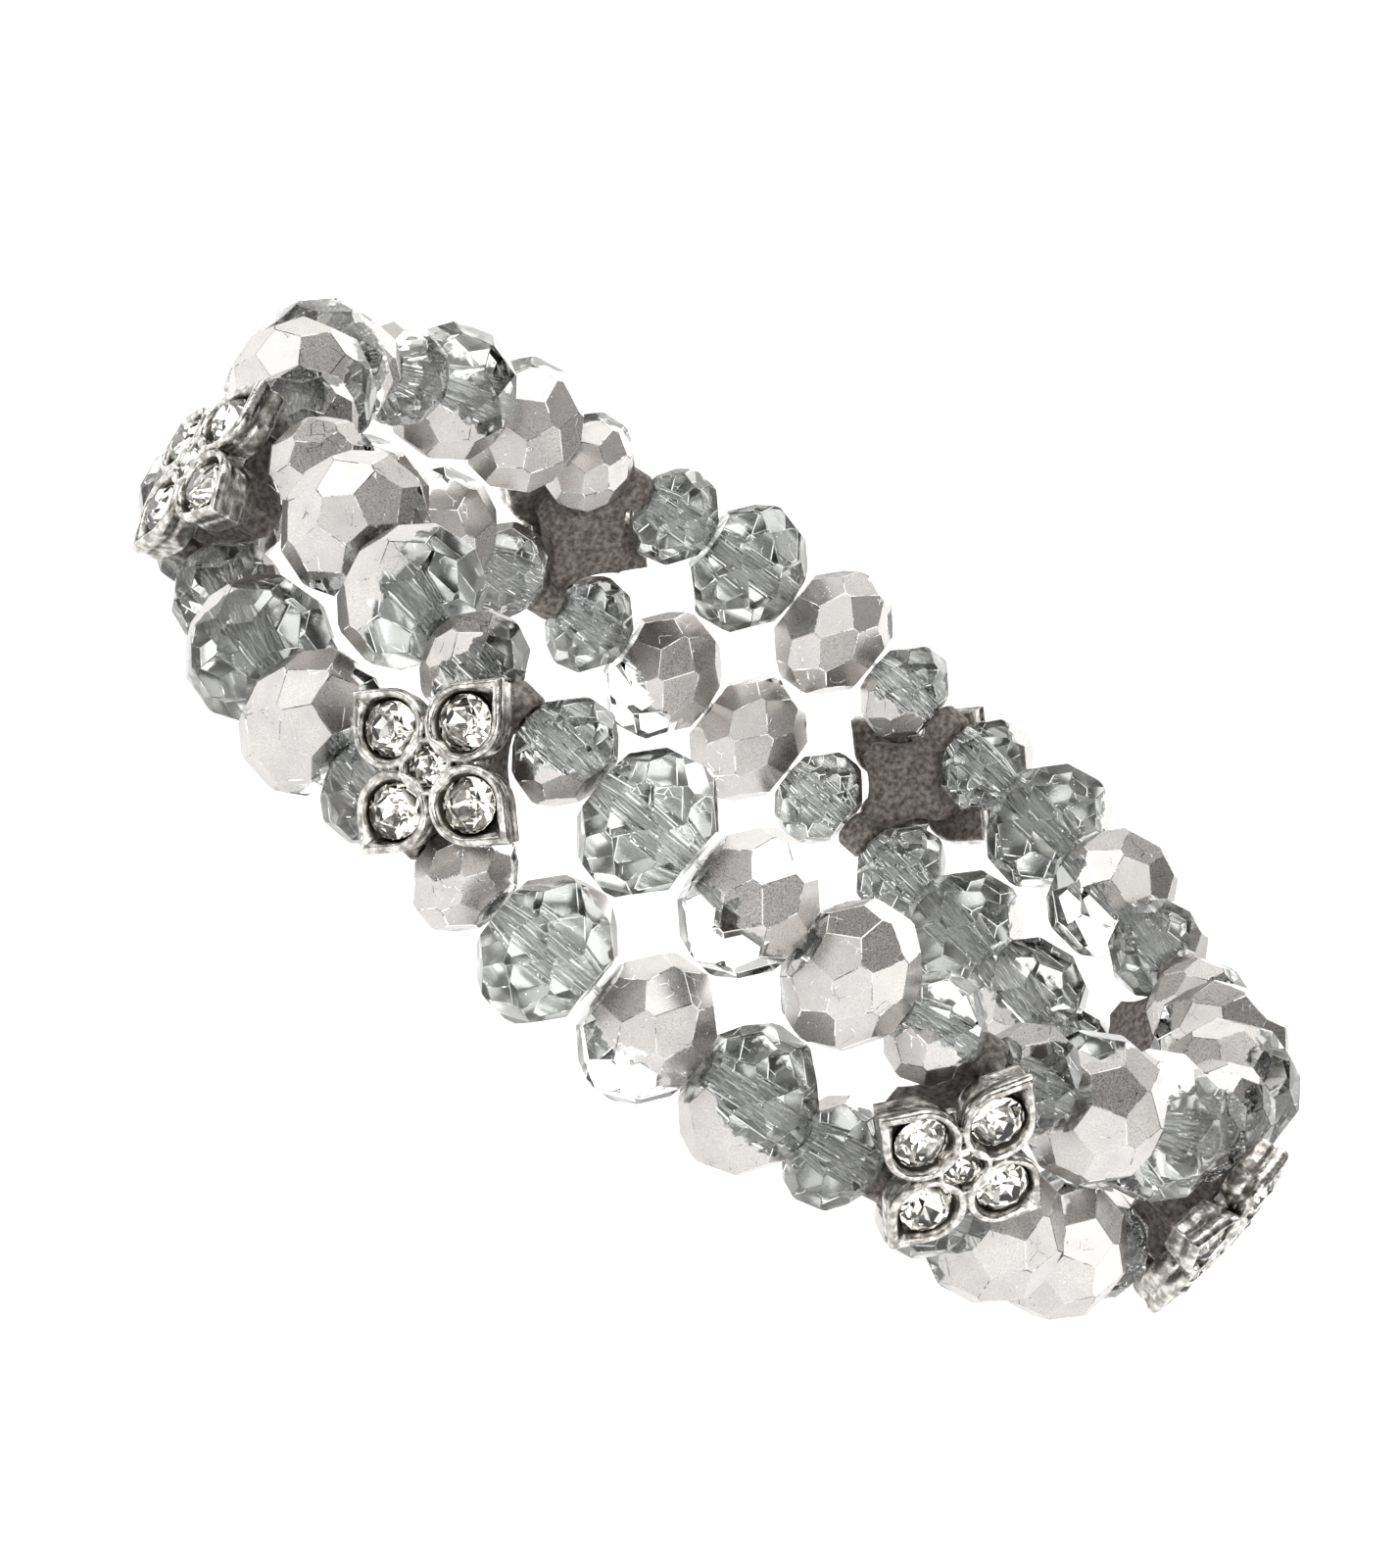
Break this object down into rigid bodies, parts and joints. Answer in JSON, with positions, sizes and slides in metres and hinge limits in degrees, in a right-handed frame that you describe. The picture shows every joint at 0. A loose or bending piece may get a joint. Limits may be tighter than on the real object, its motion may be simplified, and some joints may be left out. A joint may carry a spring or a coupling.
{
  "type": "stretch bracelet",
  "caption": "Two-row stretch bracelet of faceted, half-silvered glass rondelles with cast flower spacers set with round rhinestones, strung on elastic cords.",
  "frame": {"origin": "on the ring's axis, at the height of the surface that the bracelet lies on", "axes": "+Z along the ring's axis, up from that surface; -Y is the front, which has three large beads in a row in each strand"},
  "size_m": [0.0719, 0.0713, 0.0162],
  "materials": {
    "half_silvered_glass": "faceted clear glass with a mirror coat over part of each bead",
    "antique_silver": "antique silver plated casting, dark in the recesses and bright on the rims",
    "rhinestone": "foil-backed round brilliant",
    "clear_elastic": "clear elastic filaments"
  },
  "bodies": {
    "elastic_cords": {"elastic_upper": "clear_elastic", "elastic_lower": "clear_elastic"},
    "spacer_1_group": {"spacer_1_casting": "antique_silver", "spacer_1_rhinestones": "rhinestone", "spacer_1_small_beads": "half_silvered_glass"},
    "spacer_2_group": {"spacer_2_casting": "antique_silver", "spacer_2_rhinestones": "rhinestone", "spacer_2_small_beads": "half_silvered_glass"},
    "spacer_3_group": {"spacer_3_casting": "antique_silver", "spacer_3_rhinestones": "rhinestone", "spacer_3_small_beads": "half_silvered_glass"},
    "spacer_4_group": {"spacer_4_casting": "antique_silver", "spacer_4_rhinestones": "rhinestone", "spacer_4_small_beads": "half_silvered_glass"},
    "spacer_5_group": {"spacer_5_casting": "antique_silver", "spacer_5_rhinestones": "rhinestone", "spacer_5_small_beads": "half_silvered_glass"},
    "spacer_6_group": {"spacer_6_casting": "antique_silver", "spacer_6_rhinestones": "rhinestone", "spacer_6_small_beads": "half_silvered_glass"},
    "spacer_7_group": {"spacer_7_casting": "antique_silver", "spacer_7_rhinestones": "rhinestone", "spacer_7_small_beads": "half_silvered_glass"},
    "spacer_8_group": {"spacer_8_casting": "antique_silver", "spacer_8_rhinestones": "rhinestone", "spacer_8_small_beads": "half_silvered_glass"},
    "upper_bead_01": {"upper_bead_01": "half_silvered_glass"},
    "lower_bead_01": {"lower_bead_01": "half_silvered_glass"},
    "upper_bead_02": {"upper_bead_02": "half_silvered_glass"},
    "lower_bead_02": {"lower_bead_02": "half_silvered_glass"},
    "upper_bead_03": {"upper_bead_03": "half_silvered_glass"},
    "lower_bead_03": {"lower_bead_03": "half_silvered_glass"},
    "upper_bead_04": {"upper_bead_04": "half_silvered_glass"},
    "lower_bead_04": {"lower_bead_04": "half_silvered_glass"},
    "upper_bead_05": {"upper_bead_05": "half_silvered_glass"},
    "lower_bead_05": {"lower_bead_05": "half_silvered_glass"},
    "upper_bead_06": {"upper_bead_06": "half_silvered_glass"},
    "lower_bead_06": {"lower_bead_06": "half_silvered_glass"},
    "upper_bead_07": {"upper_bead_07": "half_silvered_glass"},
    "lower_bead_07": {"lower_bead_07": "half_silvered_glass"},
    "upper_bead_08": {"upper_bead_08": "half_silvered_glass"},
    "lower_bead_08": {"lower_bead_08": "half_silvered_glass"},
    "upper_bead_09": {"upper_bead_09": "half_silvered_glass"},
    "lower_bead_09": {"lower_bead_09": "half_silvered_glass"},
    "upper_bead_10": {"upper_bead_10": "half_silvered_glass"},
    "lower_bead_10": {"lower_bead_10": "half_silvered_glass"},
    "upper_bead_11": {"upper_bead_11": "half_silvered_glass"},
    "lower_bead_11": {"lower_bead_11": "half_silvered_glass"},
    "upper_bead_12": {"upper_bead_12": "half_silvered_glass"},
    "lower_bead_12": {"lower_bead_12": "half_silvered_glass"},
    "upper_bead_13": {"upper_bead_13": "half_silvered_glass"},
    "lower_bead_13": {"lower_bead_13": "half_silvered_glass"},
    "upper_bead_14": {"upper_bead_14": "half_silvered_glass"},
    "lower_bead_14": {"lower_bead_14": "half_silvered_glass"},
    "upper_bead_15": {"upper_bead_15": "half_silvered_glass"},
    "lower_bead_15": {"lower_bead_15": "half_silvered_glass"},
    "upper_bead_16": {"upper_bead_16": "half_silvered_glass"},
    "lower_bead_16": {"lower_bead_16": "half_silvered_glass"},
    "upper_bead_17": {"upper_bead_17": "half_silvered_glass"},
    "lower_bead_17": {"lower_bead_17": "half_silvered_glass"}
  },
  "joints": [
    {"name": "band_stretch", "type": "slide", "parent": "elastic_cords", "child": "spacer_1_group", "axis": [-0.3437, -0.9391, 0], "range_m": [0, 0.005], "stiffness_N_per_m": 40, "springref_m": -0.004, "deforming": ["elastic_upper", "elastic_lower"]},
    {"name": "stretch_spacer_2", "type": "slide", "parent": "elastic_cords", "child": "spacer_2_group", "axis": [0.5734, -0.8193, 0], "range_m": [0, 0.005], "stiffness_N_per_m": 40, "springref_m": -0.004},
    {"name": "stretch_spacer_3", "type": "slide", "parent": "elastic_cords", "child": "spacer_3_group", "axis": [0.9801, -0.1986, 0], "range_m": [0, 0.005], "stiffness_N_per_m": 40, "springref_m": -0.004},
    {"name": "stretch_spacer_4", "type": "slide", "parent": "elastic_cords", "child": "spacer_4_group", "axis": [0.8471, 0.5315, 0], "range_m": [0, 0.005], "stiffness_N_per_m": 40, "springref_m": -0.004},
    {"name": "stretch_spacer_5", "type": "slide", "parent": "elastic_cords", "child": "spacer_5_group", "axis": [0.2476, 0.9689, 0], "range_m": [0, 0.005], "stiffness_N_per_m": 40, "springref_m": -0.004},
    {"name": "stretch_spacer_6", "type": "slide", "parent": "elastic_cords", "child": "spacer_6_group", "axis": [-0.4882, 0.8727, 0], "range_m": [0, 0.005], "stiffness_N_per_m": 40, "springref_m": -0.004},
    {"name": "stretch_spacer_7", "type": "slide", "parent": "elastic_cords", "child": "spacer_7_group", "axis": [-0.9552, 0.296, 0], "range_m": [0, 0.005], "stiffness_N_per_m": 40, "springref_m": -0.004},
    {"name": "stretch_spacer_8", "type": "slide", "parent": "elastic_cords", "child": "spacer_8_group", "axis": [-0.8962, -0.4437, 0], "range_m": [0, 0.005], "stiffness_N_per_m": 40, "springref_m": -0.004},
    {"name": "spin_upper_bead_01", "type": "hinge", "parent": "spacer_1_group", "child": "upper_bead_01", "pos_m": [-0.00223, -0.03123, 0.0122], "axis": [0.9975, -0.0712, 0], "continuous": true},
    {"name": "spin_lower_bead_01", "type": "hinge", "parent": "spacer_1_group", "child": "lower_bead_01", "pos_m": [-0.00223, -0.03123, 0.004], "axis": [0.9975, -0.0712, 0], "continuous": true},
    {"name": "spin_upper_bead_02", "type": "hinge", "parent": "spacer_1_group", "child": "upper_bead_02", "pos_m": [0.00406, -0.03104, 0.0122], "axis": [0.9916, 0.1296, 0], "continuous": true},
    {"name": "spin_lower_bead_02", "type": "hinge", "parent": "spacer_1_group", "child": "lower_bead_02", "pos_m": [0.00406, -0.03104, 0.004], "axis": [0.9916, 0.1296, 0], "continuous": true},
    {"name": "spin_upper_bead_03", "type": "hinge", "parent": "spacer_2_group", "child": "upper_bead_03", "pos_m": [0.01018, -0.0296, 0.0122], "axis": [0.9457, 0.3252, 0], "continuous": true},
    {"name": "spin_lower_bead_03", "type": "hinge", "parent": "spacer_2_group", "child": "lower_bead_03", "pos_m": [0.01018, -0.0296, 0.004], "axis": [0.9457, 0.3252, 0], "continuous": true},
    {"name": "spin_upper_bead_04", "type": "hinge", "parent": "spacer_2_group", "child": "upper_bead_04", "pos_m": [0.02433, -0.0197, 0.0122], "axis": [0.6293, 0.7772, 0], "continuous": true},
    {"name": "spin_lower_bead_04", "type": "hinge", "parent": "spacer_2_group", "child": "lower_bead_04", "pos_m": [0.02433, -0.0197, 0.004], "axis": [0.6293, 0.7772, 0], "continuous": true},
    {"name": "spin_upper_bead_05", "type": "hinge", "parent": "spacer_3_group", "child": "upper_bead_05", "pos_m": [0.02778, -0.01444, 0.0122], "axis": [0.4612, 0.8873, 0], "continuous": true},
    {"name": "spin_lower_bead_05", "type": "hinge", "parent": "spacer_3_group", "child": "lower_bead_05", "pos_m": [0.02778, -0.01444, 0.004], "axis": [0.4612, 0.8873, 0], "continuous": true},
    {"name": "spin_upper_bead_06", "type": "hinge", "parent": "spacer_3_group", "child": "upper_bead_06", "pos_m": [0.03121, 0.00249, 0.0122], "axis": [-0.0795, 0.9968, 0], "continuous": true},
    {"name": "spin_lower_bead_06", "type": "hinge", "parent": "spacer_3_group", "child": "lower_bead_06", "pos_m": [0.03121, 0.00249, 0.004], "axis": [-0.0795, 0.9968, 0], "continuous": true},
    {"name": "spin_upper_bead_07", "type": "hinge", "parent": "spacer_4_group", "child": "upper_bead_07", "pos_m": [0.03008, 0.00868, 0.0122], "axis": [-0.2772, 0.9608, 0], "continuous": true},
    {"name": "spin_lower_bead_07", "type": "hinge", "parent": "spacer_4_group", "child": "lower_bead_07", "pos_m": [0.03008, 0.00868, 0.004], "axis": [-0.2772, 0.9608, 0], "continuous": true},
    {"name": "spin_upper_bead_08", "type": "hinge", "parent": "spacer_4_group", "child": "upper_bead_08", "pos_m": [0.0209, 0.02331, 0.0122], "axis": [-0.7446, 0.6676, 0], "continuous": true},
    {"name": "spin_lower_bead_08", "type": "hinge", "parent": "spacer_4_group", "child": "lower_bead_08", "pos_m": [0.0209, 0.02331, 0.004], "axis": [-0.7446, 0.6676, 0], "continuous": true},
    {"name": "spin_upper_bead_09", "type": "hinge", "parent": "spacer_5_group", "child": "upper_bead_09", "pos_m": [0.01582, 0.02702, 0.0122], "axis": [-0.863, 0.5053, 0], "continuous": true},
    {"name": "spin_lower_bead_09", "type": "hinge", "parent": "spacer_5_group", "child": "lower_bead_09", "pos_m": [0.01582, 0.02702, 0.004], "axis": [-0.863, 0.5053, 0], "continuous": true},
    {"name": "spin_upper_bead_10", "type": "hinge", "parent": "spacer_5_group", "child": "upper_bead_10", "pos_m": [-0.00092, 0.03129, 0.0122], "axis": [-0.9996, -0.0293, 0], "continuous": true},
    {"name": "spin_lower_bead_10", "type": "hinge", "parent": "spacer_5_group", "child": "lower_bead_10", "pos_m": [-0.00092, 0.03129, 0.004], "axis": [-0.9996, -0.0293, 0], "continuous": true},
    {"name": "spin_upper_bead_11", "type": "hinge", "parent": "spacer_6_group", "child": "upper_bead_11", "pos_m": [-0.00715, 0.03048, 0.0122], "axis": [-0.9735, -0.2285, 0], "continuous": true},
    {"name": "spin_lower_bead_11", "type": "hinge", "parent": "spacer_6_group", "child": "lower_bead_11", "pos_m": [-0.00715, 0.03048, 0.004], "axis": [-0.9735, -0.2285, 0], "continuous": true},
    {"name": "spin_upper_bead_12", "type": "hinge", "parent": "spacer_6_group", "child": "upper_bead_12", "pos_m": [-0.02223, 0.02204, 0.0122], "axis": [-0.7042, -0.71, 0], "continuous": true},
    {"name": "spin_lower_bead_12", "type": "hinge", "parent": "spacer_6_group", "child": "lower_bead_12", "pos_m": [-0.02223, 0.02204, 0.004], "axis": [-0.7042, -0.71, 0], "continuous": true},
    {"name": "spin_upper_bead_13", "type": "hinge", "parent": "spacer_7_group", "child": "upper_bead_13", "pos_m": [-0.02619, 0.01716, 0.0122], "axis": [-0.548, -0.8365, 0], "continuous": true},
    {"name": "spin_lower_bead_13", "type": "hinge", "parent": "spacer_7_group", "child": "lower_bead_13", "pos_m": [-0.02619, 0.01716, 0.004], "axis": [-0.548, -0.8365, 0], "continuous": true},
    {"name": "spin_upper_bead_14", "type": "hinge", "parent": "spacer_7_group", "child": "upper_bead_14", "pos_m": [-0.0313, 0.00066, 0.0122], "axis": [-0.021, -0.9998, 0], "continuous": true},
    {"name": "spin_lower_bead_14", "type": "hinge", "parent": "spacer_7_group", "child": "lower_bead_14", "pos_m": [-0.0313, 0.00066, 0.004], "axis": [-0.021, -0.9998, 0], "continuous": true},
    {"name": "spin_upper_bead_15", "type": "hinge", "parent": "spacer_8_group", "child": "upper_bead_15", "pos_m": [-0.0308, -0.00561, 0.0122], "axis": [0.1793, -0.9838, 0], "continuous": true},
    {"name": "spin_lower_bead_15", "type": "hinge", "parent": "spacer_8_group", "child": "lower_bead_15", "pos_m": [-0.0308, -0.00561, 0.004], "axis": [0.1793, -0.9838, 0], "continuous": true},
    {"name": "spin_upper_bead_16", "type": "hinge", "parent": "spacer_8_group", "child": "upper_bead_16", "pos_m": [-0.02313, -0.02109, 0.0122], "axis": [0.6737, -0.739, 0], "continuous": true},
    {"name": "spin_lower_bead_16", "type": "hinge", "parent": "spacer_8_group", "child": "lower_bead_16", "pos_m": [-0.02313, -0.02109, 0.004], "axis": [0.6737, -0.739, 0], "continuous": true},
    {"name": "spin_upper_bead_17", "type": "hinge", "parent": "spacer_1_group", "child": "upper_bead_17", "pos_m": [-0.01845, -0.02529, 0.0122], "axis": [0.8078, -0.5894, 0], "continuous": true},
    {"name": "spin_lower_bead_17", "type": "hinge", "parent": "spacer_1_group", "child": "lower_bead_17", "pos_m": [-0.01845, -0.02529, 0.004], "axis": [0.8078, -0.5894, 0], "continuous": true}
  ],
  "couplings": [
    {"joint": "stretch_spacer_2", "follows": "band_stretch", "ratio": 1},
    {"joint": "stretch_spacer_3", "follows": "band_stretch", "ratio": 1},
    {"joint": "stretch_spacer_4", "follows": "band_stretch", "ratio": 1},
    {"joint": "stretch_spacer_5", "follows": "band_stretch", "ratio": 1},
    {"joint": "stretch_spacer_6", "follows": "band_stretch", "ratio": 1},
    {"joint": "stretch_spacer_7", "follows": "band_stretch", "ratio": 1},
    {"joint": "stretch_spacer_8", "follows": "band_stretch", "ratio": 1}
  ]
}
